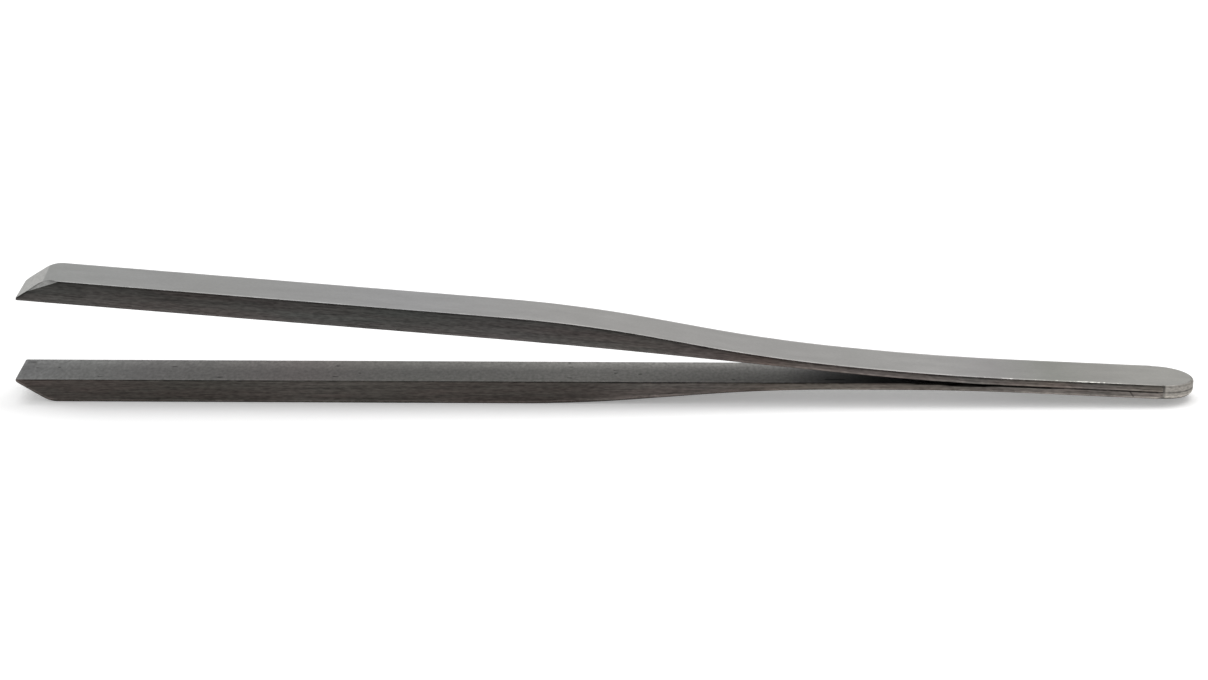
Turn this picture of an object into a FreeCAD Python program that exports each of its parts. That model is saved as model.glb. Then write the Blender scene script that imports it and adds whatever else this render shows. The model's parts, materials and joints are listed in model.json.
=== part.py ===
import FreeCAD, Part
import math
import os

# Precision tweezers: two steel arms cut from one blank, each a stiff bar that
# thins to a spring leaf. They are welded leaf to leaf at the heel, which is
# ground to a round nose, and each arm has its own bend and its own ground tip.
# Millimetres and degrees. The arms are drawn about a middle plane, z = 0, with
# the tips at x = 0, and are then laid down on the lower bar's outer face.

# The blank
overall_length = 150.0       # tip edge to nose
arm_width = 9.0
bar_thickness = 2.9          # the stiff working half
leaf_thickness = 0.9         # the spring half
weld_length = 22.0           # the leaves lie face to face over this length
root_radius = 380.0          # the leaf bends away from its twin
shoulder_from_tip = 71.0     # the bar starts to thin
shoulder_radius = 190.0      # outer face, bar into the thinning ramp
neck_radius = 220.0          # outer face, ramp into the leaf
belly_radius = 1000.0        # inner face, bar into the leaf
ramp_angle = 4.6             # ramp's outer face to the leaf's inner face
edge_break = 0.12            # chamfer on the long outer edges

# How far each arm stands open: its inner face to the middle plane
upper_bar_angle = 2.15
upper_leaf_angle = 3.45
lower_bar_angle = 2.4        # the lower arm's inner face is straight to its root
lower_leaf_angle = 2.4

# Chisel tips, ground by hand
tip_edge = 0.3               # blunt end left on the tip
upper_bevel_angle = 36.5     # end bevel to the bar's outer face
lower_bevel_angle = 31.0
bevel_round = 3.9            # the bevel rolls into the outer face
tip_corner_radius = 0.3      # corners of the tip, seen from above
facet_along = 5.4            # upper tip's corner facet: tip edge to its end on the long edge
facet_across = 0.75          # its reach across the bevel's top
facet_down = 1.75            # tip edge to its start on the bevel

# Welded heel
nose_edge_radius = 0.35      # ground edge round the nose
weld_depth = 0.6             # fused seam round the nose, inwards from its wall
weld_face = 0.5              # height of the fused seam on the wall
nugget_count = 2             # spot welds between the leaves
nugget_diameter = 3.4
nugget_height = 0.7

# Motion
tip_clearance = 0.03         # each closed tip stops this short of the middle plane

tool_margin = 5.0            # cutting tools run this far past the metal
most_of_run = 0.98           # share of a straight run that its arcs may take up
least_turn_angle = 0.02      # a corner that turns less than this stays as it is

nose_radius = arm_width / 2
nose_middle = overall_length - nose_radius
across = FreeCAD.Vector(0, 1, 0)
upright = FreeCAD.Vector(0, 0, 1)


def point(x, z, y=0.0):
    return FreeCAD.Vector(x, y, z)


def heading(opening):
    """Way from tip to heel along a face that closes on the middle plane by this angle."""
    angle = math.radians(opening)
    return point(math.cos(angle), -math.sin(angle))


def outward(opening):
    """Way out of the upper arm, square to the same face."""
    angle = math.radians(opening)
    return point(math.sin(angle), math.cos(angle))


def crossing(start_a, way_a, start_b, way_b):
    """Where two lines of the side view meet."""
    gap = start_b - start_a
    span = (gap.x * way_b.z - gap.z * way_b.x) / (way_a.x * way_b.z - way_a.z * way_b.x)
    return start_a + way_a * span


def half_turns(corners):
    """Half the turn at every corner between the ends."""
    turns = []
    for before, corner, after in zip(corners, corners[1:], corners[2:]):
        turns.append((corner - before).getAngle(after - corner) / 2)
    return turns


def arc_reaches(corners, radii):
    """How far each arc reaches along its two runs, held back where a run is too short."""
    reaches = [radius * math.tan(turn) for radius, turn in zip(radii, half_turns(corners))]
    reaches = [0.0] + reaches + [0.0]
    for index, (start, end) in enumerate(zip(corners, corners[1:])):
        room = (end - start).Length * most_of_run
        wanted = reaches[index] + reaches[index + 1]
        if wanted > room:
            reaches[index] *= room / wanted
            reaches[index + 1] *= room / wanted
    return reaches[1:-1]


def rounded_path(corners, radii):
    """Edges through the corners, with every corner between the ends rolled to its radius."""
    edges = []
    start = corners[0]
    reaches = arc_reaches(corners, radii)
    for index, (half_turn, reach) in enumerate(zip(half_turns(corners), reaches)):
        corner = corners[index + 1]
        way_in = (corner - corners[index]).normalize()
        way_out = (corners[index + 2] - corner).normalize()
        lift = reach * math.tan(half_turn / 2)
        arc_start = corner - way_in * reach
        arc_middle = corner + (way_out - way_in).normalize() * lift
        arc_end = corner + way_out * reach
        edges.append(Part.makeLine(start, arc_start))
        edges.append(Part.Arc(arc_start, arc_middle, arc_end).toShape())
        start = arc_end
    edges.append(Part.makeLine(start, corners[-1]))
    return edges


def bent(corners, radii):
    """The same path with the corners left out that don't turn."""
    turns = half_turns(corners)
    turning = [index for index, turn in enumerate(turns) if math.degrees(turn) > least_turn_angle]
    kept = [corners[0]] + [corners[index + 1] for index in turning] + [corners[-1]]
    return rounded_path(kept, [radii[index] for index in turning])


class Arm:
    """Side view and tip of one arm, drawn as the upper arm whichever it is."""

    def __init__(self, bar_opening, leaf_opening, bevel_angle):
        self.bar_opening = bar_opening
        self.leaf_opening = leaf_opening
        self.bevel_slope = math.tan(math.radians(bevel_angle))
        self.bevel_length = (bar_thickness - tip_edge) / self.bevel_slope

        # Corners of the inner face, worked out from the weld back to the tip
        self.half_root_turn = math.radians(leaf_opening / 2)
        root_reach = root_radius * math.tan(self.half_root_turn)
        self.inner_root = point(overall_length - weld_length - root_reach, 0)
        leaf_run = (self.inner_root.x - shoulder_from_tip) / heading(leaf_opening).x
        self.inner_belly = self.inner_root - heading(leaf_opening) * leaf_run
        bar_run = self.inner_belly.x / heading(bar_opening).x
        self.inner_tip = self.inner_belly - heading(bar_opening) * bar_run

        # The leaf flexes about the middle of its root bend, on its inner face
        flex_lift = root_radius / math.cos(self.half_root_turn) - root_radius
        self.flex_point = self.inner_root + outward(leaf_opening / 2) * flex_lift
        tip_reach = (self.inner_tip - self.flex_point).Length
        open_slope = math.asin((self.inner_tip.z - self.flex_point.z) / tip_reach)
        closed_slope = math.asin((tip_clearance - self.flex_point.z) / tip_reach)
        self.closing_angle = math.degrees(open_slope - closed_slope)

    def on_tip(self, along, out, sideways=0.0):
        """A point of the tip: along the bar, out of its inner face, across it."""
        spot = self.inner_tip + heading(self.bar_opening) * along
        return spot + outward(self.bar_opening) * out + across * sideways

    def inner_path(self):
        corners = [point(overall_length, 0), self.inner_root, self.inner_belly, self.inner_tip]
        return bent(corners, [root_radius, belly_radius])

    def outer_path(self):
        """The end bevel and its round first, then the bar, the ramp and the leaf."""
        shoulder = self.inner_belly + outward(self.bar_opening) * bar_thickness
        leaf_line = self.inner_root + outward(self.leaf_opening) * leaf_thickness
        leaf_way = heading(self.leaf_opening)
        ramp_way = heading(self.leaf_opening + ramp_angle)
        corners = [
            self.on_tip(0, tip_edge),
            self.on_tip(self.bevel_length, bar_thickness),
            shoulder,
            crossing(shoulder, ramp_way, leaf_line, leaf_way),
            crossing(leaf_line, leaf_way, point(0, leaf_thickness), heading(0)),
            point(overall_length, leaf_thickness),
        ]
        radii = [bevel_round, shoulder_radius, neck_radius, root_radius - leaf_thickness]
        return rounded_path(corners, radii)

    def blank(self):
        """The side view through the arm's width, with the long outer edges broken."""
        inner = self.inner_path()
        outer = self.outer_path()
        tip_end = Part.makeLine(self.inner_tip, self.on_tip(0, tip_edge))
        heel_end = Part.makeLine(point(overall_length, leaf_thickness), point(overall_length, 0))
        side = Part.Face(Part.Wire(inner + [tip_end] + outer + [heel_end]))
        side.translate(across * (-arm_width / 2))
        solid = side.extrude(across * arm_width)
        past_bevel = outer[2:]
        return solid.makeChamfer(edge_break, edges_along(solid, past_bevel))

    def plan_block(self):
        """The arm seen from above, from its rounded tip corners to the nose's middle."""
        height = self.inner_tip.z + bar_thickness + tool_margin
        block = Part.makeBox(nose_middle, arm_width, height)
        upright_edges = [edge for edge in block.Edges if edge.BoundBox.ZLength > bar_thickness]
        tip_corners = [edge for edge in upright_edges if edge.BoundBox.XMax < bar_thickness]
        block = block.makeFillet(tip_corner_radius, tip_corners)
        block.translate(across * (-arm_width / 2))
        return block

    def facet_tool(self):
        """What grinding takes off outside the facet on one corner of the tip."""
        side = -arm_width / 2
        on_edge = self.on_tip(facet_along, bar_thickness, side)
        on_crease = self.on_tip(self.bevel_length, bar_thickness, side + facet_across)
        on_bevel = self.on_tip(facet_down, tip_edge + facet_down * self.bevel_slope, side)
        away = (on_crease - on_edge).cross(on_bevel - on_edge).normalize()
        return Part.makeCylinder(facet_along + tool_margin, bar_thickness + tool_margin, on_edge, away)

    def heel_side(self):
        """Everything past the flexure, squared off across the leaf."""
        tall = self.inner_tip.z + bar_thickness + tool_margin
        block = Part.makeBox(overall_length, arm_width + 2 * tool_margin, 2 * tall)
        block.translate(point(0, -tall, -arm_width / 2 - tool_margin))
        block.rotate(point(0, 0), across, self.leaf_opening / 2)
        block.translate(self.flex_point)
        return block

    def pieces(self, faceted):
        """The arm parted at its flexure into the moving arm and the welded heel."""
        ground = self.blank().common(self.plan_block())
        if faceted:
            ground = ground.cut(self.facet_tool())
        arm = ground.cut(self.heel_side())
        heel = ground.common(self.heel_side()).fuse(half_nose()).removeSplitter()
        return arm, heel.cut(nose_weld()).cut(spot_welds())


def edges_along(solid, path):
    """The solid's edges that follow a path of the side view, on either side of the arm."""
    found = []
    for side in (-arm_width / 2, arm_width / 2):
        line = Part.Wire(path)
        line.translate(across * side)
        for edge in solid.Edges:
            middle = edge.valueAt((edge.FirstParameter + edge.LastParameter) / 2)
            spots = [Part.Vertex(middle)] + edge.Vertexes
            if max(spot.distToShape(line)[0] for spot in spots) < 1e-5:
                found.append(edge)
    return found


def half_turned(section):
    """A section of the nose, swept half a turn round the nose's upright middle line."""
    section.rotate(point(nose_middle, 0), upright, -90)
    return section.revolve(point(nose_middle, 0), upright, 180)


def half_nose():
    """Round nose of one leaf, with its ground edge."""
    middle_in = nose_edge_radius * (1 - math.cos(math.radians(45)))
    wall_foot = point(overall_length, 0)
    wall_top = point(overall_length, leaf_thickness - nose_edge_radius)
    edge_middle = point(overall_length - middle_in, leaf_thickness - middle_in)
    edge_top = point(overall_length - nose_edge_radius, leaf_thickness)
    middle_top = point(nose_middle, leaf_thickness)
    middle_foot = point(nose_middle, 0)
    outline = [
        Part.makeLine(middle_foot, wall_foot),
        Part.makeLine(wall_foot, wall_top),
        Part.Arc(wall_top, edge_middle, edge_top).toShape(),
        Part.makeLine(edge_top, middle_top),
        Part.makeLine(middle_top, middle_foot),
    ]
    return half_turned(Part.Face(Part.Wire(outline)))


def nose_weld():
    """Fused seam that closes the leaves round the nose, ground flush with its wall."""
    low = point(overall_length, -weld_face / 2)
    high = point(overall_length, weld_face / 2)
    root = point(overall_length - weld_depth, 0)
    return half_turned(Part.Face(Part.makePolygon([root, low, high, root])))


def spot_welds():
    """Lens-shaped nuggets, spread evenly over the straight part of the weld."""
    half_height = nugget_height / 2
    cap_radius = ((nugget_diameter / 2) ** 2 + half_height ** 2) / nugget_height
    sink = cap_radius - half_height
    pitch = (weld_length - nose_radius) / nugget_count
    nuggets = []
    for index in range(nugget_count):
        x = nose_middle - pitch * (index + 0.5)
        upper_cap = Part.makeSphere(cap_radius, point(x, -sink))
        lower_cap = Part.makeSphere(cap_radius, point(x, sink))
        nuggets.append(upper_cap.common(lower_cap))
    return Part.makeCompound(nuggets)


def flipped(shape):
    """A piece drawn as the upper arm's, turned over into the lower arm."""
    return shape.mirror(point(0, 0), upright)


def resting(shape):
    """Turned so that the lower bar's outer face is level."""
    turned = shape.copy()
    turned.rotate(point(0, 0), across, lower_bar_angle)
    return turned


def main():
    upper = Arm(upper_bar_angle, upper_leaf_angle, upper_bevel_angle)
    lower = Arm(lower_bar_angle, lower_leaf_angle, lower_bevel_angle)
    upper_arm, upper_heel = upper.pieces(faceted=True)
    lower_arm, lower_heel = lower.pieces(faceted=False)
    pieces = {
        "upper_arm": upper_arm,
        "lower_arm": flipped(lower_arm),
        "upper_heel": upper_heel,
        "lower_heel": flipped(lower_heel),
        "nose_weld": nose_weld(),
        "spot_welds": spot_welds(),
    }
    pieces = {name: resting(shape) for name, shape in pieces.items()}
    box = Part.makeCompound(list(pieces.values())).optimalBoundingBox(False, False)
    to_origin = point(-box.Center.x, -box.ZMin)
    os.makedirs("parts", exist_ok=True)
    for name, shape in pieces.items():
        shape.translate(to_origin)
        shape.exportStep("parts/" + name + ".step")
        print(name, len(shape.Solids), "solid", round(shape.Volume, 3), "mm3, valid", shape.isValid())
    level = FreeCAD.Rotation(across, lower_bar_angle)
    for name, arm, side in (("upper", upper, 1), ("lower", lower, -1)):
        pivot = level.multVec(point(arm.flex_point.x, side * arm.flex_point.z)) + to_origin
        print(name, "flexure at x", round(pivot.x, 4), "z", round(pivot.z, 4),
              "closes by", round(arm.closing_angle, 4), "degrees")


main()
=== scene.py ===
import json
import math

import bmesh
import bpy
from mathutils import Matrix, Vector, noise


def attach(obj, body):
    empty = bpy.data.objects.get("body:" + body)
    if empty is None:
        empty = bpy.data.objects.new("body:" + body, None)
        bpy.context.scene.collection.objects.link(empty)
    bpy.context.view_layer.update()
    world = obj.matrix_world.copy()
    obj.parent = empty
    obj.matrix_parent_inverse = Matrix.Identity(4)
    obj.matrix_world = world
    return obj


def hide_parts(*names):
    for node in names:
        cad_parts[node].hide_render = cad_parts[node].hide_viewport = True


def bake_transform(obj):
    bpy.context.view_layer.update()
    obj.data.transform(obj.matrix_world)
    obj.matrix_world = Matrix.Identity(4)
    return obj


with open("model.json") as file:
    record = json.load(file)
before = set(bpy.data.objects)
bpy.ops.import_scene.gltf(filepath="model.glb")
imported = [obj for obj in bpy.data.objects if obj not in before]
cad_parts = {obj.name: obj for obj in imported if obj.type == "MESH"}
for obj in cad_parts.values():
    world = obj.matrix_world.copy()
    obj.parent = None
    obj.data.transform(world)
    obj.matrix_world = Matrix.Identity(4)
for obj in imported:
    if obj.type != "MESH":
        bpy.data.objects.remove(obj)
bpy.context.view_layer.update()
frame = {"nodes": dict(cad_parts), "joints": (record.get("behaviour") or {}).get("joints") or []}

# Precision tweezers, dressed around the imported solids. The tweezers' own sizes are in
# millimetres and degrees. The finished meshes, the camera and the stage are in metres.

millimetre = 0.001
insideSolids = 0.9999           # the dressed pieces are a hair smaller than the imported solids
print("frame loaded:", sorted(frame["nodes"]))


blank = {
    "length": 150.0,            # tip edge to nose
    "width": 9.0,
    "barThickness": 2.9,
    "leafThickness": 0.9,
    "weldLength": 22.0,
    "rootRadius": 380.0,
    "bellyFromTip": 71.0,
    "bellyRadius": 1000.0,
    "shoulderRadius": 190.0,
    "neckRadius": 220.0,
    "rampAngle": 4.6,
    "tipEdge": 0.3,
    "bevelRound": 3.9,
}
upperShape = {
    **blank,
    "barAngle": 2.15,           # inner face to the middle plane
    "leafAngle": 3.45,
    "bevelAngle": 36.5,
    "tipCorners": (0.3, 0.9),   # near and far corner of the tip, from above; the far one is worn
    "noseRound": 0.36,          # ground edge round the nose
    "facet": {"along": 5.4, "across": 0.9, "down": 1.2},
    "mirrored": False,
    "seed": 1.0,
}
lowerShape = {
    **blank,
    "barAngle": 2.4,
    "leafAngle": 2.4,
    "bevelAngle": 31.0,
    "tipCorners": (0.3, 0.3),
    "noseRound": 0.55,
    "facet": None,
    "mirrored": True,
    "seed": 21.0,
}
lineSettings = {
    "arcSteps": 28,             # chords in a rounded corner
    "roomShare": 0.98,          # how much of a straight run its two arcs may use
    "leastTurn": 1e-4,          # a corner with a smaller half turn, in radians, stays as it is
    "tiny": 1e-9,               # shorter runs have no direction
    "slack": 1e-6,              # a crossing may lie this far past the end of a run
}


def heading(angle):
    # from the tip to the heel, along a face at this angle to the middle plane
    turn = math.radians(angle)
    return Vector((math.cos(turn), -math.sin(turn)))


def outward(angle):
    # straight out from that face, away from the middle plane
    turn = math.radians(angle)
    return Vector((math.sin(turn), math.cos(turn)))


def crossing(startA, wayA, startB, wayB):
    gap = startB - startA
    return startA + wayA * (gap.cross(wayB) / wayA.cross(wayB))


def roundedLine(corners, radii):
    # straight runs with an arc at each corner, held back where a run is short
    halfTurns = [(b - a).angle(c - b) / 2 for a, b, c in zip(corners, corners[1:], corners[2:])]
    reaches = [0.0] + [r * math.tan(half) for r, half in zip(radii, halfTurns)] + [0.0]
    for i in range(len(corners) - 1):
        room = (corners[i + 1] - corners[i]).length * lineSettings["roomShare"]
        wanted = reaches[i] + reaches[i + 1]
        if wanted > room:
            reaches[i] *= room / wanted
            reaches[i + 1] *= room / wanted
    line = [corners[0]]
    for i, halfTurn in enumerate(halfTurns, start=1):
        if halfTurn >= lineSettings["leastTurn"]:
            wayIn = (corners[i] - corners[i - 1]).normalized()
            wayOut = (corners[i + 1] - corners[i]).normalized()
            line += arc(corners[i] - wayIn * reaches[i], wayIn, halfTurn,
                        reaches[i] / math.tan(halfTurn), math.copysign(1.0, wayIn.cross(wayOut)))
    line.append(corners[-1])
    return line


def arc(start, way, halfTurn, radius, side):
    # bends away from the way in by twice the half turn, to the left for a side of one
    middle = start + Vector((-way.y, way.x)) * radius * side
    spoke = start - middle
    spots = []
    for k in range(lineSettings["arcSteps"] + 1):
        bend = side * 2 * halfTurn * k / lineSettings["arcSteps"]
        cosine, sine = math.cos(bend), math.sin(bend)
        spots.append(middle + Vector((spoke.x * cosine - spoke.y * sine,
                                      spoke.x * sine + spoke.y * cosine)))
    return spots


def bevelRun(shape):
    rise = shape["barThickness"] - shape["tipEdge"]
    return rise / math.tan(math.radians(shape["bevelAngle"]))


def armLines(shape):
    # tip, root bend, and the inner and outer line of an arm, over the middle plane
    halfRoot = math.radians(shape["leafAngle"] / 2)
    weldEnd = shape["length"] - shape["weldLength"]
    root = Vector((weldEnd - shape["rootRadius"] * math.tan(halfRoot), 0))
    bar, leaf = heading(shape["barAngle"]), heading(shape["leafAngle"])
    belly = root - leaf * ((root.x - shape["bellyFromTip"]) / leaf.x)
    tip = belly - bar * (belly.x / bar.x)
    offBar, offLeaf = outward(shape["barAngle"]), outward(shape["leafAngle"])
    shoulder = belly + offBar * shape["barThickness"]
    leafLine = root + offLeaf * shape["leafThickness"]
    ramp = heading(shape["leafAngle"] + shape["rampAngle"])
    nose = Vector((shape["length"], 0))
    lift = Vector((0, shape["leafThickness"]))
    inner = roundedLine([tip, belly, root, nose], [shape["bellyRadius"], shape["rootRadius"]])
    outer = roundedLine(
        [tip + offBar * shape["tipEdge"],
         tip + bar * bevelRun(shape) + offBar * shape["barThickness"],
         shoulder,
         crossing(shoulder, ramp, leafLine, leaf),
         crossing(leafLine, leaf, lift, Vector((1, 0))),
         nose + lift],
        [shape["bevelRound"], shape["shoulderRadius"], shape["neckRadius"],
         shape["rootRadius"] - shape["leafThickness"]])
    return tip, root, inner, outer


def walk(line, distance):
    # the spot this far along the line, and the way there
    for start, end in zip(line, line[1:]):
        span = (end - start).length
        if distance <= span and span > lineSettings["tiny"]:
            return start + (end - start) * (distance / span), (end - start).normalized()
        distance -= span
    return line[-1], (line[-1] - line[-2]).normalized()


def thicknessAt(spot, out, outer):
    # how far the outer line lies from the spot, straight out
    slack = lineSettings["slack"]
    for start, end in zip(outer, outer[1:]):
        run = end - start
        slant = out.cross(run)
        if abs(slant) < lineSettings["tiny"]:
            continue
        far = (start - spot).cross(run) / slant
        share = (start - spot).cross(out) / slant
        if far > 0 and -slack <= share <= 1 + slack:
            return far
    return (outer[-1] - spot).length


armEdges = {
    "innerRound": 0.085,        # long edges of the inner face
    "outerRound": 0.15,         # long edges of the outer face
    "innerMost": 0.3,           # no round takes more than this share of the thickness
    "outerMost": 0.65,
    "noseBlend": 0.5,           # the long edge swells to the nose's over this length
    "endRound": 0.05,           # end of the tip
    "innerWobble": 0.45,        # how unevenly the edges were dressed
    "outerWobble": 0.12,
    "waves": [(0.35, 1.1, 0.0), (1.9, 0.9, 7.0)],   # of that wobble: rate, strength, layer
    "noseWaves": 6.0,           # how far the wobble runs on round the nose
    "outerSeed": 5.0,           # sets the outer rounds apart from the inner ones
    "sharpFrom": 24.0,          # edges that turn more than this look sharp
}
armDivisions = {
    "endShares": [0.3, 0.65, 1.0],      # stations within the tip's end round
    "cornerSteps": 5,                   # and within its corner
    "spacing": [(8.5, 0.2), (60.0, 0.6), (math.inf, 0.5)],  # up to here, this far apart
    "lastGap": 0.1,                     # none closer than this before the last
    "noseSteps": 30, "wallSteps": 6, "roundSteps": 4,
    "weld": 1e-5, "facetWeld": 5e-4,    # vertices closer than this are one
    "cutReach": 1e-4,                   # and this close to the facet's cut lie on it
}
insets = [4.5, 3.6, 2.7, 1.8, 1.1, 0.6, 0.32]   # rows across a face, from its middle
regionNames = ["outer", "side", "inner", "ground", "nose"]


def stationDistances(shape, total):
    corner, steps = shape["tipCorners"][0], armDivisions["cornerSteps"]
    spots = [0.0] + [armEdges["endRound"] * share for share in armDivisions["endShares"]]
    spots += [corner * k / steps for k in range(2, steps + 1)]
    place = corner
    while place < total:
        spots.append(place)
        place += next(gap for limit, gap in armDivisions["spacing"] if place < limit)
    last = total - armDivisions["lastGap"]
    return sorted(set(round(spot, 5) for spot in spots if spot < last)) + [total]


def sideProfile(thickness, innerRound, outerRound, shrink):
    # (inset, height) up one side of a section, from mid inner face to mid outer face
    steps, walls = armDivisions["roundSteps"], armDivisions["wallSteps"]
    bends = [math.pi / 2 * k / steps for k in range(steps + 1)]
    low, high = shrink, thickness - shrink
    foot, head = low + innerRound, high - outerRound
    spots = [(inset, low) for inset in insets]
    spots += [(innerRound * (1 - math.sin(bend)), low + innerRound * (1 - math.cos(bend)))
              for bend in bends]
    spots += [(0.0, foot + (head - foot) * k / walls) for k in range(1, walls)]
    spots += [(outerRound * (1 - math.cos(bend)), high - outerRound * (1 - math.sin(bend)))
              for bend in bends]
    spots += [(inset, high) for inset in reversed(insets)]
    return spots


def regionOf(index, count):
    # which finish the strip between two rows of the profile has; the outer round's
    # last strip shines as the face does
    if index < len(insets):
        return "inner"
    return "outer" if index >= count - len(insets) - 2 else "side"


def wobble(distance, seed, amount):
    return 1 + amount * sum(strength * noise.noise(Vector((distance * rate, seed, layer)))
                            for rate, strength, layer in armEdges["waves"])


def straightRing(addVertex, shape, inner, outer, total, distance):
    # both sides of a section between the tip and the nose's round
    spot, way = walk(inner, distance)
    out = Vector((-way.y, way.x))
    thickness = thicknessAt(spot, out, outer)
    end, blend = armEdges["endRound"], armEdges["noseBlend"]
    shrink = end - math.sqrt(max(0.0, end ** 2 - max(0.0, end - distance) ** 2))
    swell = min(1.0, max(0.0, (distance - total + blend) / blend))
    ring = []
    for side, corner in zip((-1, 1), shape["tipCorners"]):
        width = shape["width"] / 2 - shrink
        if distance < corner:
            width -= corner - math.sqrt(corner ** 2 - (corner - distance) ** 2)
        seed = shape["seed"] + side
        innerRound = armEdges["innerRound"] * wobble(distance, seed, armEdges["innerWobble"])
        outerRound = armEdges["outerRound"] * wobble(distance, seed + armEdges["outerSeed"],
                                                     armEdges["outerWobble"])
        outerRound += (shape["noseRound"] - outerRound) * swell
        innerRound = min(innerRound, (thickness - 2 * shrink) * armEdges["innerMost"])
        outerRound = min(outerRound, (thickness - 2 * shrink) * armEdges["outerMost"])
        row = []
        for inset, height in sideProfile(thickness, innerRound, outerRound, shrink):
            inset = min(inset, width)
            place = spot + out * height
            row.append(addVertex((place.x, side * (width - inset), place.y),
                                 distance, height, thickness, inset))
        ring.append(row)
    return ring


def noseRing(addVertex, shape, total, share):
    # both sides of a section of the nose, this share of the way round it
    bend = math.pi / 2 * share
    half, thickness = shape["width"] / 2, shape["leafThickness"]
    ring = []
    for side in (-1, 1):
        innerRound = armEdges["innerRound"] * wobble(
            total + armEdges["noseWaves"] * share, shape["seed"] + side,
            armEdges["innerWobble"] * (1 - share))
        row = []
        for inset, height in sideProfile(thickness, innerRound, shape["noseRound"], 0.0):
            radius = half - min(inset, half)
            beyond = radius * math.sin(bend)
            row.append(addVertex((shape["length"] - half + beyond, side * radius * math.cos(bend),
                                  height), total + beyond, height, thickness, inset))
        ring.append(row)
    return ring


def skin(mesh, rings, straightRings):
    # faces between the rings and over the tip's end, each with its finish
    count = len(rings[0][0])
    for k, (ringA, ringB) in enumerate(zip(rings, rings[1:])):
        for side, (rowA, rowB) in enumerate(zip(ringA, ringB)):
            for j in range(count - 1):
                corners = [rowA[j], rowB[j], rowB[j + 1], rowA[j + 1]]
                if side == 1:
                    corners.reverse()
                region = regionOf(j, count)
                if region == "side" and k >= straightRings - 1:
                    region = "nose"
                mesh.faces.new(corners).material_index = regionNames.index(region)
    near, far = rings[0]
    cap = mesh.faces.new(near + list(reversed(far)))
    cap.material_index = regionNames.index("ground")


def cleanUp(mesh, reach):
    bmesh.ops.remove_doubles(mesh, verts=mesh.verts, dist=reach)
    bmesh.ops.recalc_face_normals(mesh, faces=mesh.faces)


def buildArm(name, shape):
    tip, _, inner, outer = armLines(shape)
    total = sum((b - a).length for a, b in zip(inner, inner[1:])) - shape["width"] / 2
    mesh = bmesh.new()
    grain = mesh.verts.layers.float_vector.new("grain")
    depth = mesh.verts.layers.float_vector.new("depth")

    def addVertex(place, along, height, thickness, inset):
        vertex = mesh.verts.new(place)
        vertex[grain] = (along, place[1], height)
        vertex[depth] = (thickness - height, height, inset)
        return vertex

    rings = [straightRing(addVertex, shape, inner, outer, total, distance)
             for distance in stationDistances(shape, total)]
    straightRings, steps = len(rings), armDivisions["noseSteps"]
    rings += [noseRing(addVertex, shape, total, k / steps) for k in range(1, steps + 1)]
    skin(mesh, rings, straightRings)
    cleanUp(mesh, armDivisions["weld"])
    if shape["facet"]:
        cutFacet(mesh, shape, tip)
        cleanUp(mesh, armDivisions["facetWeld"])
    if shape["mirrored"]:
        bmesh.ops.scale(mesh, vec=(1, 1, -1), verts=mesh.verts)
        bmesh.ops.reverse_faces(mesh, faces=mesh.faces)
    arm = makePiece(name, mesh)
    arm.data.set_sharp_from_angle(angle=math.radians(armEdges["sharpFrom"]))
    return arm


def onTip(shape, tip, along, out, across):
    spot = tip + heading(shape["barAngle"]) * along + outward(shape["barAngle"]) * out
    return Vector((spot.x, across, spot.y))


def cutFacet(mesh, shape, tip):
    # one corner of the bevel is ground off by hand
    facet, side = shape["facet"], -shape["width"] / 2
    rise = facet["down"] * math.tan(math.radians(shape["bevelAngle"]))
    crest = shape["barThickness"]
    onEdge = onTip(shape, tip, facet["along"], crest, side)
    onCrease = onTip(shape, tip, bevelRun(shape), crest, side + facet["across"])
    onBevel = onTip(shape, tip, facet["down"], shape["tipEdge"] + rise, side)
    away = (onCrease - onEdge).cross(onBevel - onEdge).normalized()
    cut = bmesh.ops.bisect_plane(mesh, geom=mesh.verts[:] + mesh.edges[:] + mesh.faces[:],
                                 dist=armDivisions["cutReach"],
                                 plane_co=onEdge, plane_no=away, clear_outer=True)
    rim = [e for e in cut["geom_cut"] if isinstance(e, bmesh.types.BMEdge)]
    filled = bmesh.ops.holes_fill(mesh, edges=rim, sides=0)
    for face in filled["faces"]:
        face.material_index = regionNames.index("ground")


def jointPlace(name):
    return Vector(next(joint["pos_m"] for joint in frame["joints"] if joint["name"] == name))


def ontoSolids():
    # level on the lower bar's outer face, with the upper flexure on its packed joint
    root = armLines(upperShape)[1]
    halfRoot = math.radians(upperShape["leafAngle"] / 2)
    lift = upperShape["rootRadius"] / math.cos(halfRoot) - upperShape["rootRadius"]
    flexure = root + outward(upperShape["leafAngle"] / 2) * lift
    level = Matrix.Rotation(math.radians(lowerShape["barAngle"]), 4, "Y")
    size = millimetre * insideSolids
    shift = jointPlace("upper_flex") - level @ (Vector((flexure.x, 0, flexure.y)) * size)
    return Matrix.Translation(shift) @ level @ Matrix.Scale(size, 4)


def makePiece(name, mesh):
    data = bpy.data.meshes.new(name)
    mesh.to_mesh(data)
    mesh.free()
    data.transform(ontoSolids())
    for polygon in data.polygons:
        polygon.use_smooth = True
    piece = bpy.data.objects.new(name, data)
    bpy.context.scene.collection.objects.link(piece)
    return piece


bead = {
    "halfHeight": 0.16,
    "depth": 0.34,
    "sink": 0.012,              # how far its face lies inside the nose's wall
    "pit": 0.07,                # deepest unfilled spot of the seam
    "pitRate": 0.31,
    "pitSeed": (3.0, 1.0),
    "nearPits": 1.6,            # the near half was filled worse
    "farPits": 0.8,
    "steps": 72,
    "points": 10,
}


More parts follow.
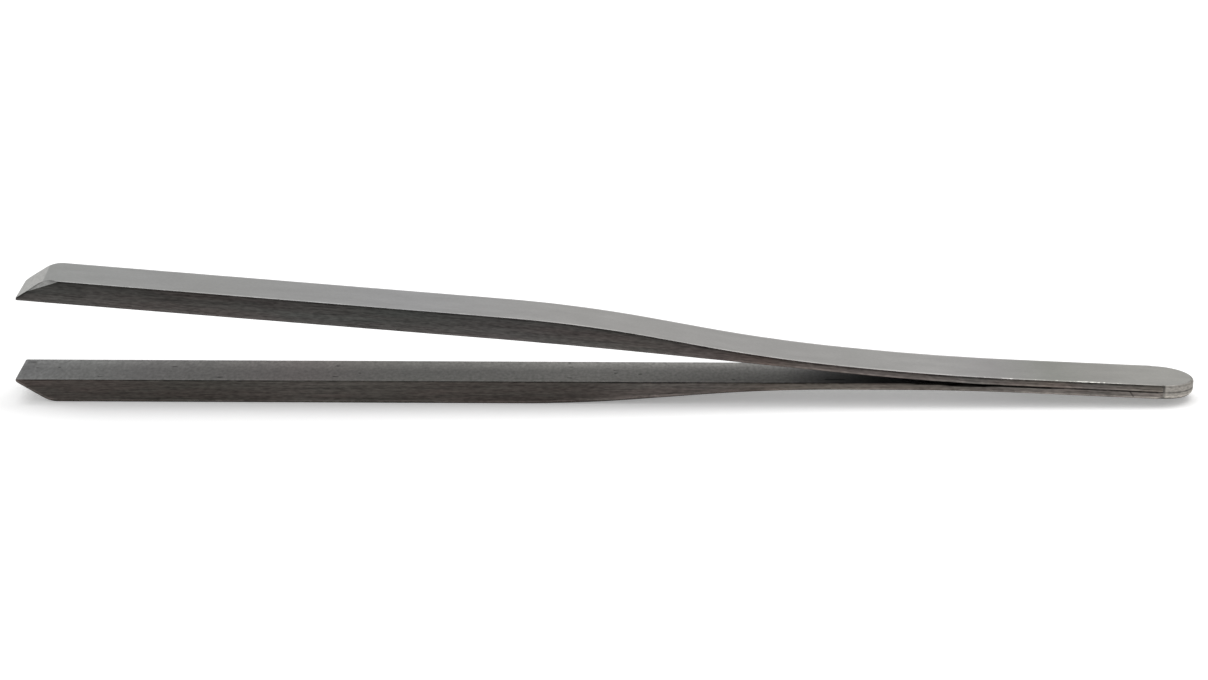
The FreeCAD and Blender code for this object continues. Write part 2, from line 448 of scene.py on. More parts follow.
def buildBead():
    mesh = bmesh.new()
    grain = mesh.verts.layers.float_vector.new("grain")
    half, points = blank["width"] / 2, bead["points"]
    noseMiddle = blank["length"] - half
    rings = []
    for k in range(bead["steps"] + 1):
        bend = -math.pi / 2 + math.pi * k / bead["steps"]
        gap = max(0.0, noise.noise(Vector((k * bead["pitRate"], *bead["pitSeed"]))))
        sink = bead["sink"] + bead["pit"] * gap * bead["nearPits" if bend < 0 else "farPits"]
        reach = half - sink - bead["depth"] / 2
        ring = []
        for j in range(points):
            turn = 2 * math.pi * j / points
            radius = reach + bead["depth"] / 2 * math.cos(turn)
            height = bead["halfHeight"] * math.sin(turn)
            vertex = mesh.verts.new((noseMiddle + radius * math.cos(bend),
                                     radius * math.sin(bend), height))
            vertex[grain] = (half * bend, radius, height)
            ring.append(vertex)
        rings.append(ring)
    for a, b in zip(rings, rings[1:]):
        for j in range(points):
            n = (j + 1) % points
            mesh.faces.new((a[j], b[j], b[n], a[n]))
    mesh.faces.new(rings[0])
    mesh.faces.new(list(reversed(rings[-1])))
    bmesh.ops.recalc_face_normals(mesh, faces=mesh.faces)
    return makePiece("noseBead", mesh)


# A pattern's recipe: how often it repeats in a millimetre along, across and up the arm,
# its offset, and how far from its middle it is read, for this much change of brightness.
# A finish's recipe has its patterns, its roughness and how far the pattern behind that is
# read, the tint of its gloss, and its relief in metres.

def startFinish(name):
    finish = bpy.data.materials.new(name)
    finish.use_nodes = True
    shader = finish.node_tree.nodes["Principled BSDF"]
    shader.inputs["Metallic"].default_value = 1.0
    return finish, finish.node_tree, shader


def addNode(tree, kind, inputs=None, **settings):
    # inputs: a value or another node's output for each socket; settings: the node's own
    node = tree.nodes.new(kind)
    for key, value in settings.items():
        setattr(node, key, value)
    for key, value in (inputs or {}).items():
        if isinstance(value, bpy.types.NodeSocket):
            tree.links.new(value, node.inputs[key])
        else:
            node.inputs[key].default_value = value
    return node


def spread(tree, value, fromLow, fromHigh, low, high):
    node = addNode(tree, "ShaderNodeMapRange",
                   {"Value": value, "From Min": fromLow, "From Max": fromHigh,
                    "To Min": low, "To Max": high})
    return node.outputs["Result"]


def spreadRound(tree, value, reach, low, high):
    # a pattern, read this far to either side of its middle
    return spread(tree, value, 0.5 - reach, 0.5 + reach, low, high)


def maths(tree, operation, a, b):
    return addNode(tree, "ShaderNodeMath", {0: a, 1: b}, operation=operation).outputs["Value"]


def product(tree, first, *others):
    for other in others:
        first = maths(tree, "MULTIPLY", first, other)
    return first


def summed(tree, first, *others):
    for other in others:
        first = maths(tree, "ADD", first, other)
    return first


def mixColour(tree, share, a, b, mode="MIX"):
    node = addNode(tree, "ShaderNodeMix", {0: share, 6: a, 7: b},
                   data_type="RGBA", blend_type=mode)
    return node.outputs[2]


def scaled(tree, colour, factor):
    # colour times a pattern
    grey = addNode(tree, "ShaderNodeCombineColor", {0: factor, 1: factor, 2: factor})
    return mixColour(tree, 1.0, colour, grey.outputs["Color"], "MULTIPLY")


def onSurface(tree, name):
    # grain: along, across and up the arm; depth: below the outer face, above the inner
    # face, in from the side; all in millimetres
    return addNode(tree, "ShaderNodeAttribute", attribute_name=name,
                   attribute_type="GEOMETRY").outputs["Vector"]


def partsOf(tree, name):
    return addNode(tree, "ShaderNodeSeparateXYZ", {"Vector": onSurface(tree, name)}).outputs


def grainPlace(tree, stretch, offset):
    mapping = addNode(tree, "ShaderNodeMapping", {"Vector": onSurface(tree, "grain"),
                                                  "Scale": stretch, "Location": offset})
    return mapping.outputs["Vector"]


def patterns(tree, recipes, names, seed=0.0):
    # the named noises of a finish, which follow the arm
    made = []
    for recipe in (recipes[name] for name in names):
        x, y, z = recipe.get("offset", (0, 0, 0))
        node = addNode(tree, "ShaderNodeTexNoise",
                       {"Vector": grainPlace(tree, recipe["stretch"], (x + seed, y, z)),
                        "Scale": 1.0, "Detail": recipe["detail"],
                        "Roughness": recipe.get("roughness", 0.5)})
        made.append(node.outputs["Fac"])
    return made


def change(tree, pattern, recipe):
    # how much a pattern adds to the brightness or takes from it
    return spreadRound(tree, pattern, recipe["reach"], -recipe["change"], recipe["change"])


def ramp(tree, share, stops):
    node = addNode(tree, "ShaderNodeValToRGB", {"Fac": share})
    elements = node.color_ramp.elements
    while len(elements) < len(stops):
        elements.new(0.5)
    for element, (place, colour) in zip(elements, stops):
        element.position = place
        element.color = (*colour, 1.0)
    return node.outputs["Color"]


def alongRamp(tree, stops):
    # a colour that drifts from tip to heel
    share = spread(tree, partsOf(tree, "grain")["X"], 0.0, blank["length"], 0.0, 1.0)
    return ramp(tree, share, stops)


def band(tree, value, start, end, soft):
    # one between start and end, fading out over the soft length
    return maths(tree, "MINIMUM", spread(tree, value, start - soft, start, 0.0, 1.0),
                 spread(tree, value, end, end + soft, 1.0, 0.0))


def times(tree, factor, mask, value):
    # the factor times the value where the mask is one
    return product(tree, factor, spread(tree, mask, 0.0, 1.0, 1.0, value))


def dress(tree, shader, recipe, colour, gloss, relief):
    # gloss and relief: the patterns behind the roughness and the bump
    tree.links.new(colour, shader.inputs["Base Color"])
    tree.links.new(spreadRound(tree, gloss, recipe["roughReach"], *recipe["roughness"]),
                   shader.inputs["Roughness"])
    shader.inputs["Specular Tint"].default_value = recipe["tint"]
    bump = addNode(tree, "ShaderNodeBump",
                   {"Height": relief, "Distance": recipe["relief"], "Strength": 1.0})
    tree.links.new(bump.outputs["Normal"], shader.inputs["Normal"])


ground = {
    "colour": (0.440, 0.440, 0.430, 1.0),
    "wheel": {"stretch": (7.0, 0.35, 7.0), "detail": 3, "roughness": 0.6,
              "reach": 0.25, "change": 0.10},
    "specks": {"stretch": (2.2, 2.2, 2.2), "detail": 2, "reach": 0.2, "change": 0.14},
    "roughness": (0.34, 0.42),
    "roughReach": 0.2,
    "tint": (0.7, 0.7, 0.7, 1.0),
    "relief": 0.000003,
    "facetShade": 0.38,         # painted shade: the corner facet faces away from the light and is painted darker, as are the tips' ground ends
    "creaseShade": 0.62,        # a painted shade line along its upper edges, in the creases
    "creaseWidth": 0.22,
    "creaseFrom": -1.0,         # it fades out this far outside the facet
}


def groundPattern(tree):
    # brightness and relief left by the grinding wheel on the tips
    wheel, specks = patterns(tree, ground, ("wheel", "specks"))
    factor = summed(tree, 1.0, change(tree, wheel, ground["wheel"]),
                    change(tree, specks, ground["specks"]))
    return factor, wheel


def insideFacet(tree, shape):
    # how far inside the facet's two upper edges a spot lies
    facet, side = shape["facet"], -shape["width"] / 2
    knee = Vector((bevelRun(shape), side + facet["across"]))
    gaps = []
    for end in (facet["along"], facet["down"]):
        way = (Vector((end, side)) - knee).normalized()
        off = Vector((way.y, -way.x))
        if off.y > 0:
            off = -off
        dot = addNode(tree, "ShaderNodeVectorMath",
                      {0: onSurface(tree, "grain"), 1: (off.x, off.y, 0.0)},
                      operation="DOT_PRODUCT")
        gaps.append(maths(tree, "SUBTRACT", dot.outputs["Value"], off.dot(knee)))
    return maths(tree, "MINIMUM", *gaps)


def groundFinish(shape):
    finish, tree, shader = startFinish("groundFacet")
    factor, wheel = groundPattern(tree)
    # painted shade: darker all over, and darker still in the creases along the facet's upper
    # edges
    crease = band(tree, insideFacet(tree, shape), ground["creaseFrom"],
                  ground["creaseWidth"] / 2, ground["creaseWidth"])
    factor = times(tree, product(tree, factor, ground["facetShade"]), crease,
                   ground["creaseShade"])
    dress(tree, shader, ground, scaled(tree, ground["colour"], factor), wheel, wheel)
    return finish


satin = {
    "stops": [(0, (0.300, 0.305, 0.299)), (0.11, (0.298, 0.298, 0.297)),
              (0.16, (0.296, 0.295, 0.291)), (0.33, (0.304, 0.303, 0.307)),
              (0.48, (0.331, 0.325, 0.318)), (0.63, (0.338, 0.331, 0.325)),
              (0.72, (0.333, 0.328, 0.320)), (0.78, (0.354, 0.348, 0.342)),
              (0.83, (0.308, 0.300, 0.298)), (0.88, (0.268, 0.270, 0.251)),
              (0.92, (0.304, 0.298, 0.283)), (0.95, (0.337, 0.331, 0.314)),
              (1, (0.341, 0.335, 0.317))],      # share of the length, colour
    "lines": {"stretch": (0.05, 3.2, 3.2), "detail": 4, "roughness": 0.6,
              "reach": 0.25, "change": 0.035},
    "specks": {"stretch": (3.0, 3.0, 3.0), "detail": 3, "roughness": 0.6,
               "reach": 0.3, "change": 0.08},
    "clouds": {"stretch": (0.22, 0.5, 0.5), "detail": 3, "roughness": 0.55,
               "offset": (31, 0, 0), "reach": 0.3, "change": 0.045},
    # where the edges are worn, the painted highlight along them comes and goes
    "worn": {"stretch": (0.35, 0.35, 0.35), "detail": 3, "roughness": 0.6,
             "offset": (0, 0, 17), "reach": 0.15, "change": 0.16},
    "spots": {"stretch": (0.55, 0.2, 0.2), "detail": 2, "roughness": 0.6,
              "offset": (45.2, 0, 0), "limits": (0.53, 0.59)},
    "flecks": {"stretch": (1.6, 3.4, 3.4), "detail": 2, "roughness": 0.6,
               "offset": (7, 0, 0), "limits": (0.36, 0.50)},
    "roughness": (0.36, 0.42),
    "roughReach": 0.25,
    "tint": (0.62, 0.62, 0.61, 1.0),
    "relief": 0.0000012,
    "bevelEnd": -0.36,          # the ground bevel ends this far from its virtual corner
    "bevelSkew": -0.036,        # and runs a little askew
    "bevelFade": 0.10,
    "edgeLine": (0.42, 0.06),   # a painted highlight along the long edges: width, softness
    "edgeShine": (1.22, 1.30),  # on the bar, on the leaf
    "edgeChange": (71.0, 112.5),    # from the one to the other between these
    "glint": (122.0, 138.6, 2.0, 2.7),  # painted glints on the leaf's near edge: from, to, softness, brightness
                                        # softness, brightness
    "nearHalf": (-1.0, 0.0),    # across, they fade out between these
    "noseEdge": (0.36, 0.1, 0.66),  # painted shade on the nose's ground edge: width, softness, brightness
    "noseStart": (144.0, 145.8),    # it begins between these
}


def satinFinish(name, shape):
    finish, tree, shader = startFinish(name)
    lines, specks, clouds, worn, spots, flecks = patterns(
        tree, satin, ("lines", "specks", "clouds", "worn", "spots", "flecks"))
    where, inset = partsOf(tree, "grain"), partsOf(tree, "depth")["Z"]
    factor = summed(tree, 1.0, change(tree, lines, satin["lines"]),
                    change(tree, specks, satin["specks"]), change(tree, clouds, satin["clouds"]))

    # a painted highlight along the long edges, uneven with wear
    width, soft = satin["edgeLine"]
    onEdge = band(tree, inset, 0.0, width, soft)
    shine = spread(tree, where["X"], *satin["edgeChange"], *satin["edgeShine"])
    uneven = summed(tree, 1.0, change(tree, worn, satin["worn"]))
    factor = times(tree, factor, onEdge, product(tree, shine, uneven))

    # painted glints on the leaf's near edge
    start, end, soft, shine = satin["glint"]
    paintedGlints = product(tree, onEdge, band(tree, where["X"], start, end, soft),
                   spread(tree, where["Y"], *satin["nearHalf"], 1.0, 0.0),
                   spread(tree, spots, *satin["spots"]["limits"], 0.0, 1.0),
                   spread(tree, flecks, *satin["flecks"]["limits"], 0.0, 1.0))
    factor = times(tree, factor, paintedGlints, shine)

    # painted shade dims the highlight on the ground edge round the nose
    width, soft, shine = satin["noseEdge"]
    onNose = product(tree, spread(tree, where["X"], *satin["noseStart"], 0.0, 1.0),
                     band(tree, inset, 0.0, width, soft))
    factor = times(tree, factor, onNose, shine)

    wheelFactor, wheel = groundPattern(tree)
    limit, fade = bevelRun(shape) + satin["bevelEnd"], satin["bevelFade"]
    askew = maths(tree, "SUBTRACT", where["X"], product(tree, where["Y"], satin["bevelSkew"]))
    onBevel = spread(tree, askew, limit - fade, limit + fade, 1.0, 0.0)
    colour = mixColour(tree, onBevel, scaled(tree, alongRamp(tree, satin["stops"]), factor),
                       scaled(tree, ground["colour"], wheelFactor))
    relief = summed(tree, lines, specks, product(tree, onBevel, wheel))
    dress(tree, shader, satin, colour, clouds, relief)
    return finish


brushed = {
    "fine": {"stretch": (0.16, 1.0, 6.4), "detail": 1, "roughness": 0.4,
             "reach": 0.25, "change": 0.27},
    "broad": {"stretch": (0.05, 1.0, 1.5), "detail": 2, "offset": (9, 3, 0),
              "reach": 0.2, "change": 0.05},
    "grit": {"stretch": (1.4, 1.0, 7.0), "detail": 1, "roughness": 0.4,
             "offset": (0, 0, 40), "reach": 0.25, "change": 0.27},
    "hues": {"stretch": (0.08, 1.0, 0.7), "detail": 3, "roughness": 0.6,
             "offset": (3, 8, 0), "reach": 0.12},
    "breaks": {"stretch": (0.5, 0.1, 0.1), "detail": 4, "roughness": 0.7,
               "offset": (0, 20, 0), "reach": 0.08},
    "roughness": (0.40, 0.55),
    "roughReach": 0.2,
    "tint": (0.8, 0.8, 0.8, 1.0),
    "relief": 0.000004,
    "warm": (1.035, 0.99, 0.98, 1.0),
    "cool": (0.975, 1.008, 0.99, 1.0),
    "lineSoft": (0.05, 0.01),   # in depth, in share of the length
    "lineBreaks": (0.5, 1.1),   # how strongly a line comes and goes
    "unbroken": 0.1,            # lines as dark as this are the slit's painted shade, without breaks
    "nickSoft": (0.08, 0.1),    # along, in depth
}
# lines: from which face, from and to this depth, over this share of the length, brightness
# nick: a knock's place along the leaf, slant, width, depth, brightness
upperSide = {
    # the side's tone along the length: partly a darker brushed finish, partly painted shade for
    # the dark the sides reflect
    "stops": [(0, (0.052, 0.050, 0.048)), (0.16, (0.055, 0.050, 0.048)),
              (0.24, (0.056, 0.055, 0.053)), (0.33, (0.055, 0.054, 0.052)),
              (0.41, (0.061, 0.056, 0.055)), (0.53, (0.060, 0.055, 0.052)),
              (0.585, (0.069, 0.059, 0.057)), (0.635, (0.068, 0.054, 0.049)),
              (0.67, (0.091, 0.080, 0.074)), (0.72, (0.088, 0.075, 0.072)),
              (0.77, (0.083, 0.071, 0.067)), (0.81, (0.086, 0.085, 0.081)),
              (0.84, (0.089, 0.077, 0.072)), (0.875, (0.108, 0.092, 0.082)),
              (0.91, (0.092, 0.088, 0.083)), (1, (0.128, 0.110, 0.095))],
    "shade": (0.80, 1.36),      # painted shade and light across the side: at the outer face, at the inner face
    # painted shade under the outer edge and in the slit, a dark seam; brighter lines by the inner
    # edge
    "lines": [("outer", 0.0, 0.20, 0.0, 1.0, 0.60), ("outer", 0.0, 0.26, 0.58, 0.98, 0.72),
              ("inner", 0.0, 0.22, 0.0, 0.60, 1.25), ("inner", 0.10, 0.24, 0.61, 0.98, 1.45),
              ("inner", 0.0, 0.07, 0.83, 0.98, 0.25)],
    "nick": None,
    "seed": 0.0,
}
lowerSide = {
    # painted lighter than the upper side's, to offset the floor's shade on it
    "stops": [(0, (0.065, 0.056, 0.052)), (0.16, (0.063, 0.057, 0.052)),
              (0.24, (0.075, 0.068, 0.063)), (0.33, (0.071, 0.062, 0.057)),
              (0.48, (0.058, 0.052, 0.048)), (0.53, (0.087, 0.078, 0.073)),
              (0.585, (0.088, 0.080, 0.075)), (0.635, (0.090, 0.076, 0.068)),
              (0.67, (0.107, 0.092, 0.082)), (0.72, (0.116, 0.101, 0.091)),
              (0.755, (0.097, 0.087, 0.078)), (0.84, (0.105, 0.095, 0.089)),
              (0.875, (0.154, 0.140, 0.130)), (0.91, (0.101, 0.090, 0.084)),
              (1, (0.215, 0.191, 0.178))],
    "shade": (1.0, 1.0),
    # painted contact shadow and highlights at the bottom edge; painted shade in the slit, a dark
    # seam
    "lines": [("outer", 0.0, 0.09, 0.0, 0.61, 0.55), ("outer", 0.13, 0.34, 0.0, 0.61, 1.7),
              ("outer", 0.32, 0.54, 0.465, 0.54, 1.45), ("outer", 0.0, 0.22, 0.86, 0.98, 1.5),
              ("outer", 0.0, 0.26, 0.64, 0.98, 1.5), ("inner", 0.0, 0.14, 0.50, 0.75, 0.55),
              ("inner", 0.0, 0.13, 0.01, 0.70, 0.50), ("inner", 0.0, 0.14, 0.762, 0.795, 0.06),
              ("inner", 0.0, 0.28, 0.790, 0.820, 0.06), ("inner", 0.0, 0.17, 0.815, 0.875, 0.06),
              ("inner", 0.0, 0.09, 0.875, 0.98, 0.25)],
    "nick": (141.3, 0.75, 0.16, 0.7, 0.45),
    "seed": 60.0,
}


def withLines(tree, factor, side, depths, share, breaks):
    # darker and brighter lines along the side; most are painted shade and painted highlights
    depthSoft, shareSoft = brushed["lineSoft"]
    for face, start, end, first, last, shine in side["lines"]:
        line = product(tree, band(tree, depths[face], start, end, depthSoft),
                       band(tree, share, first, last, shareSoft))
        if shine > brushed["unbroken"]:
            line = product(tree, line, breaks)
        factor = times(tree, factor, line, shine)
    return factor


def withNick(tree, factor, nick, along, above):
    place, slant, width, deep, shine = nick
    alongSoft, depthSoft = brushed["nickSoft"]
    slanted = maths(tree, "SUBTRACT", along, product(tree, above, slant))
    knock = product(tree, band(tree, slanted, place, place + width, alongSoft),
                    band(tree, above, 0.0, deep, depthSoft))
    return times(tree, factor, knock, shine)


def brushedFinish(name, side):
    finish, tree, shader = startFinish(name)
    fine, broad, grit, hues, breaks = patterns(
        tree, brushed, ("fine", "broad", "grit", "hues", "breaks"), side["seed"])
    along, depth = partsOf(tree, "grain")["X"], partsOf(tree, "depth")
    below, above = depth["X"], depth["Y"]
    factor = summed(tree, 1.0, change(tree, fine, brushed["fine"]),
                    change(tree, broad, brushed["broad"]), change(tree, grit, brushed["grit"]))
    rise = maths(tree, "DIVIDE", below, summed(tree, below, above))
    factor = product(tree, factor, spread(tree, rise, 0.0, 1.0, *side["shade"]))
    breaks = spreadRound(tree, breaks, brushed["breaks"]["reach"], *brushed["lineBreaks"])
    share = maths(tree, "DIVIDE", along, blank["length"])
    factor = withLines(tree, factor, side, {"outer": below, "inner": above}, share, breaks)
    if side["nick"]:
        factor = withNick(tree, factor, side["nick"], along, above)
    tint = mixColour(tree, spreadRound(tree, hues, brushed["hues"]["reach"], 0.0, 1.0),
                     brushed["warm"], brushed["cool"])
    colour = scaled(tree, alongRamp(tree, side["stops"]), factor)
    dress(tree, shader, brushed, mixColour(tree, 1.0, colour, tint, "MULTIPLY"), fine, fine)
    return finish


milled = {
    # the inner face's tone along the length: painted lighter toward the middle against the upper
    # arm's shade, and painted dark shade where the leaves close in
    "stops": [(0, (0.114, 0.114, 0.113)), (0.02, (0.134, 0.135, 0.133)),
              (0.06, (0.139, 0.140, 0.135)), (0.11, (0.119, 0.116, 0.113)),
              (0.16, (0.114, 0.111, 0.106)), (0.24, (0.120, 0.109, 0.105)),
              (0.33, (0.125, 0.123, 0.115)), (0.41, (0.143, 0.140, 0.132)),
              (0.48, (0.177, 0.173, 0.163)), (0.6, (0.191, 0.186, 0.177)),
              (0.65, (0.214, 0.210, 0.202)), (0.69, (0.105, 0.102, 0.102)),
              (0.73, (0.045, 0.045, 0.044)), (1, (0.034, 0.034, 0.034))],
    # painted light and shade across the face, lighter at both long edges
    "across": [(0.00, 1.60), (0.06, 1.50), (0.11, 1.30), (0.20, 1.27), (0.30, 1.18),
               (0.40, 1.10), (0.50, 1.04), (0.60, 1.05), (0.70, 1.13), (0.80, 1.20),
               (0.92, 1.26), (1.00, 1.30)],     # brightness, one long edge to the other
    "acrossMost": 2.0,          # a ramp ends at one, so it holds shares of this
    "mottle": {"stretch": (0.9, 0.5, 0.9), "detail": 4, "roughness": 0.65,
               "reach": 0.2, "change": 0.18},
    "grit": {"stretch": (2.4, 1.1, 1.1), "detail": 2, "offset": (4, 0, 0),
             "reach": 0.2, "change": 0.22},
    "streaks": {"stretch": (0.12, 2.6, 2.6), "detail": 3, "roughness": 0.6,
                "offset": (0, 11, 0), "reach": 0.25, "change": 0.05},
    "roughness": (0.40, 0.50),
    "roughReach": 0.25,
    "tint": (0.6, 0.6, 0.6, 1.0),
    "relief": 0.000006,
    "rim": (0.10, 0.34, 0.08, 1.22),    # brighter line behind the tip's end: from, to,
                                        # softness, brightness
    "marks": [(102.9, 105.2, -3.12, -2.74, 0.10),   # a scratch where the leaves close, and
              (0.9, 1.35, 2.9, 3.4, 0.60)],         # a smudge by the tip's far corner:
                                                    # from and to along, across; brightness
    "markSoft": (0.35, 0.08),   # along, across
    "pitStretch": (0.8, 1.0, 1.0),
    "pitOffset": (5.5, 5, 2),
    "pitSpacing": 0.42,         # cells per millimetre
    "pitShare": 0.86,           # only cells above this carry a pit
    "pitSize": (0.05, 0.16),
    "pitRagged": 0.3,
    "pitEdge": (0.4, 1.0),      # its wall, as shares of its size
    "pitShade": 0.35,
    "pitDepth": 6.0,            # against the mottle's relief
}


def pits(tree, grit):
    # one in the scattered small pits, zero elsewhere
    cells = addNode(tree, "ShaderNodeTexVoronoi",
                    {"Vector": grainPlace(tree, milled["pitStretch"], milled["pitOffset"]),
                     "Scale": milled["pitSpacing"], "Randomness": 1.0}, voronoi_dimensions="2D")
    chosen = addNode(tree, "ShaderNodeSeparateColor", {"Color": cells.outputs["Color"]})
    here = maths(tree, "GREATER_THAN", chosen.outputs[0], milled["pitShare"])
    size = spread(tree, chosen.outputs[1], 0.0, 1.0, *milled["pitSize"])
    ragged = milled["pitRagged"]
    reach = summed(tree, maths(tree, "DIVIDE", cells.outputs["Distance"], size),
                   spreadRound(tree, grit, milled["grit"]["reach"], -ragged, ragged))
    return product(tree, here, spread(tree, reach, *milled["pitEdge"], 1.0, 0.0))


def milledFinish():
    finish, tree, shader = startFinish("milledInnerFace")
    mottle, grit, streaks = patterns(tree, milled, ("mottle", "grit", "streaks"))
    where, pit = partsOf(tree, "grain"), pits(tree, grit)
    factor = summed(tree, 1.0, change(tree, mottle, milled["mottle"]),
                    change(tree, streaks, milled["streaks"]), change(tree, grit, milled["grit"]))
    half, most = blank["width"] / 2, milled["acrossMost"]
    across = ramp(tree, spread(tree, where["Y"], -half, half, 0.0, 1.0),
                  [(place, (shine / most,) * 3) for place, shine in milled["across"]])
    factor = product(tree, factor, across, most)
    start, end, soft, shine = milled["rim"]
    factor = times(tree, factor, band(tree, where["X"], start, end, soft), shine)
    alongSoft, acrossSoft = milled["markSoft"]
    for start, end, near, far, shine in milled["marks"]:
        mark = product(tree, band(tree, where["X"], start, end, alongSoft),
                       band(tree, where["Y"], near, far, acrossSoft))
        factor = times(tree, factor, mark, shine)
    factor = times(tree, factor, pit, milled["pitShade"])
    relief = maths(tree, "SUBTRACT", mottle, product(tree, pit, milled["pitDepth"]))
    dress(tree, shader, milled, scaled(tree, alongRamp(tree, milled["stops"]), factor),
          mottle, relief)
    return finish


noseWall = {
    "colour": (0.345, 0.325, 0.298, 1.0),
    "marks": {"stretch": (1.9, 1.9, 3.0), "detail": 4, "roughness": 0.65,
              "reach": 0.2, "change": 0.36},
    "clouds": {"stretch": (0.7, 0.7, 1.1), "detail": 2, "offset": (5, 0, 0),
               "reach": 0.25, "change": 0.10},
    "roughness": (0.55, 0.70),
    "roughReach": 0.2,
    "tint": (0.6, 0.6, 0.6, 1.0),
    "relief": 0.00001,
    "seam": (0.10, 0.05),       # the darker seam between the leaves: half height, softness
    "seamReach": 0.15,
    "seamShine": (0.45, 0.9),
    "edgeSoft": 0.1,
    "start": (0.30, 0.50),      # the side's tone runs out over this stretch of the round
}
# width and brightness of the ground edge, and the brightness where the side runs out;
# the edge is painted: on the upper nose shade that dims its highlight, on the lower a highlight
upperNose = {"edge": 0.20, "edgeShine": 0.72, "sideShine": 0.32}
lowerNose = {"edge": 0.42, "edgeShine": 1.5, "sideShine": 0.60}


def noseFinish(name, nose):
    finish, tree, shader = startFinish(name)
    marks, clouds = patterns(tree, noseWall, ("marks", "clouds"))
    factor = summed(tree, 1.0, change(tree, marks, noseWall["marks"]),
                    change(tree, clouds, noseWall["clouds"]))
    depth = partsOf(tree, "depth")
    nearSeam = band(tree, depth["Y"], 0.0, *noseWall["seam"])
    factor = times(tree, factor, nearSeam,
                   spreadRound(tree, clouds, noseWall["seamReach"], *noseWall["seamShine"]))
    # painted light on the ground edge: shade on the upper nose, a highlight on the lower
    onEdge = band(tree, depth["X"], 0.0, nose["edge"], noseWall["edgeSoft"])
    factor = times(tree, factor, onEdge, nose["edgeShine"])
    roundStart = blank["length"] - blank["width"] / 2
    first, last = (roundStart + step for step in noseWall["start"])
    ending = spread(tree, partsOf(tree, "grain")["X"], first, last, nose["sideShine"], 1.0)
    colour = scaled(tree, noseWall["colour"], product(tree, factor, ending))
    dress(tree, shader, noseWall, colour, marks, marks)
    return finish


fused = {
    "colour": (0.150, 0.142, 0.130, 1.0),
    "marks": {"stretch": (2.5, 2.5, 4.0), "detail": 4, "roughness": 0.65,
              "reach": 0.25, "change": 0.3},
    "nuggetMarks": 2500.0,      # how often these repeat in a metre on the nuggets
    "roughness": (0.45, 0.6),
    "roughReach": 0.2,
    "tint": (1.0, 1.0, 1.0, 1.0),
    "relief": 0.00001,
}


def fusedFinish(name, fromGrain):
    finish, tree, shader = startFinish(name)
    if fromGrain:
        marks = patterns(tree, fused, ["marks"])[0]
    else:
        place = addNode(tree, "ShaderNodeTexCoord").outputs["Object"]
        marks = addNode(tree, "ShaderNodeTexNoise",
                        {"Vector": place, "Scale": fused["nuggetMarks"],
                         "Detail": fused["marks"]["detail"]}).outputs["Fac"]
    factor = summed(tree, 1.0, change(tree, marks, fused["marks"]))
    dress(tree, shader, fused, scaled(tree, fused["colour"], factor), marks, marks)
    return finish


shared = {"inner": milledFinish(), "ground": groundFinish(upperShape)}
upperFinishes = {**shared, "nose": noseFinish("groundUpperNose", upperNose),
                 "outer": satinFinish("satinUpperFace", upperShape),
                 "side": brushedFinish("brushedUpperSide", upperSide)}
lowerFinishes = {**shared, "nose": noseFinish("groundLowerNose", lowerNose),
                 "outer": satinFinish("satinLowerFace", lowerShape),
                 "side": brushedFinish("brushedLowerSide", lowerSide)}
print("finishes made:", len(upperFinishes), "and", len(lowerFinishes))


# a leaf bends from this far ahead of its flexure, in metres, to where the weld starts
weldStart = ontoSolids() @ Vector((blank["length"] - blank["weldLength"], 0, 0))

upperArm = buildArm("upperArm", upperShape)
lowerArm = buildArm("lowerArm", lowerShape)
for arm, body, joint, finishes in ((upperArm, "upper_arm", "upper_flex", upperFinishes),
                                   (lowerArm, "lower_arm", "lower_flex", lowerFinishes)):
    for region in regionNames:
        arm.data.materials.append(finishes[region])
    pivot = jointPlace(joint)
    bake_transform(arm)
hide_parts("upper_arm", "upper_heel")
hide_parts("lower_arm", "lower_heel")
print("arms:", len(upperArm.data.vertices), "and", len(lowerArm.data.vertices), "vertices")

noseBead = buildBead()
noseBead.data.materials.append(fusedFinish("fusedSeam", True))
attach(noseBead, "heel")
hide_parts("nose_weld")

spotWelds = frame["nodes"]["spot_welds"]
spotWelds.data.materials.clear()
spotWelds.data.materials.append(fusedFinish("fusedNugget", False))
print("weld seam and nuggets placed")


viewpoint = {
    "target": (0.0, 0.0, 0.006),
    "elevation": 16.48,
    "distance": 0.4549,
    "roll": 0.241,
    "lens": 106.12,             # this and the sensor's width are in millimetres
    "sensor": 36.0,
    "clip": (0.02, 60.0),
    "aimRight": -0.000398,
    "aimUp": 0.001102,
}


def buildCamera():
    data = bpy.data.cameras.new("viewCamera")
    data.lens = viewpoint["lens"]
    data.sensor_width = viewpoint["sensor"]
    data.clip_start, data.clip_end = viewpoint["clip"]
    camera = bpy.data.objects.new("viewCamera", data)
    bpy.context.scene.collection.objects.link(camera)
    tilt = math.radians(viewpoint["elevation"])
    back = Vector((0, -math.cos(tilt), math.sin(tilt)))
    up = Vector((0, math.sin(tilt), math.cos(tilt)))
    target = Vector(viewpoint["target"])
    camera.location = target + back * viewpoint["distance"]
    aim = target + Vector((viewpoint["aimRight"], 0, 0)) + up * viewpoint["aimUp"]
    facing = (aim - camera.location).to_track_quat("-Z", "Y").to_matrix().to_4x4()
    roll = Matrix.Rotation(math.radians(viewpoint["roll"]), 4, "Z")
    camera.matrix_world = Matrix.Translation(camera.location) @ facing @ roll
    bpy.context.scene.camera = camera


stage = {
    "floorSize": 12.0,
    "floorDrop": 0.00003,       # just clear of the tweezers
    "floorColour": (0.96, 0.96, 0.96, 1.0),
    "floorSeen": (0.92, 0.92, 0.92, 1.0),   # what the camera sees of it: this, and a glow on top
    "floorGlow": 0.24,
    "floorRoughness": 0.9,
    "fill": 0.55,
    "backdrop": 1.0,            # the fill as it is seen
    "keyPower": 2.9,
    "keySize": (1.0, 0.4),
    "keyDistance": 0.62,
    "keyElevation": 70.0,
}


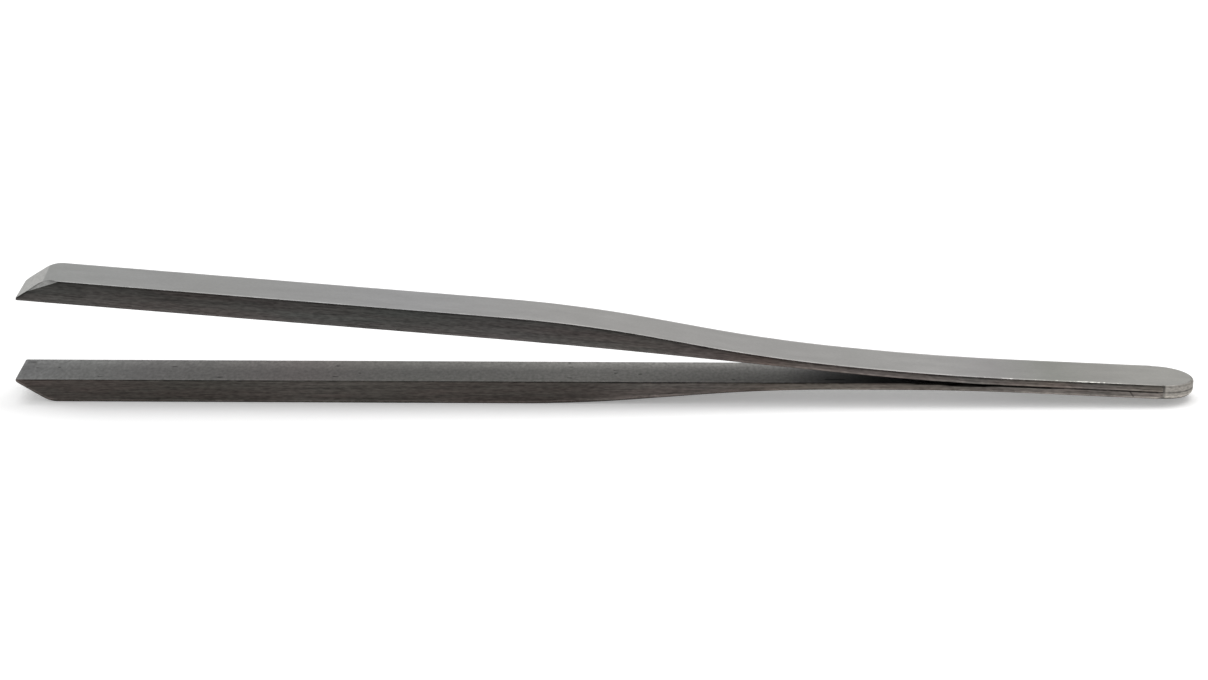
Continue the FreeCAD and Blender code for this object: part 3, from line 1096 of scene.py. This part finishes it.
def seenRays(tree):
    # one for what the camera sees, also in metal or glass
    rays = addNode(tree, "ShaderNodeLightPath").outputs
    seen = maths(tree, "MAXIMUM", rays["Is Camera Ray"], rays["Is Glossy Ray"])
    return maths(tree, "MAXIMUM", seen, rays["Is Transmission Ray"])


def buildFloor():
    bpy.ops.mesh.primitive_plane_add(size=stage["floorSize"],
                                     location=(0, 0, -stage["floorDrop"]))
    floor = bpy.context.object
    floor.name = "benchTop"
    paint = bpy.data.materials.new("paleBench")
    paint.use_nodes = True
    tree = paint.node_tree
    shader = tree.nodes["Principled BSDF"]
    seen = seenRays(tree)
    tree.links.new(mixColour(tree, seen, stage["floorColour"], stage["floorSeen"]),
                   shader.inputs["Base Color"])
    shader.inputs["Emission Color"].default_value = (1, 1, 1, 1)
    tree.links.new(product(tree, seen, stage["floorGlow"]), shader.inputs["Emission Strength"])
    shader.inputs["Roughness"].default_value = stage["floorRoughness"]
    shader.inputs["Specular IOR Level"].default_value = 0.0
    floor.data.materials.append(paint)


def buildFill():
    world = bpy.data.worlds.new("studioFill")
    bpy.context.scene.world = world
    world.use_nodes = True
    tree = world.node_tree
    tree.nodes.clear()
    strength = spread(tree, seenRays(tree), 0.0, 1.0, stage["fill"], stage["backdrop"])
    background = addNode(tree, "ShaderNodeBackground",
                         {"Color": (1, 1, 1, 1), "Strength": strength})
    addNode(tree, "ShaderNodeOutputWorld", {"Surface": background.outputs["Background"]})


def buildKey():
    lamp = bpy.data.lights.new("keySoftbox", "AREA")
    lamp.shape = "RECTANGLE"
    lamp.size, lamp.size_y = stage["keySize"]
    lamp.energy = stage["keyPower"]
    key = bpy.data.objects.new("keySoftbox", lamp)
    bpy.context.scene.collection.objects.link(key)
    rise = math.radians(stage["keyElevation"])
    place = Vector((0.0, math.cos(rise), math.sin(rise))) * stage["keyDistance"]
    key.location = place
    key.rotation_mode = "QUATERNION"
    key.rotation_quaternion = (-place).to_track_quat("-Z", "Y")


buildCamera()
buildFloor()
buildFill()
buildKey()
bpy.context.scene.view_settings.view_transform = "Standard"
print("camera, floor and light set")
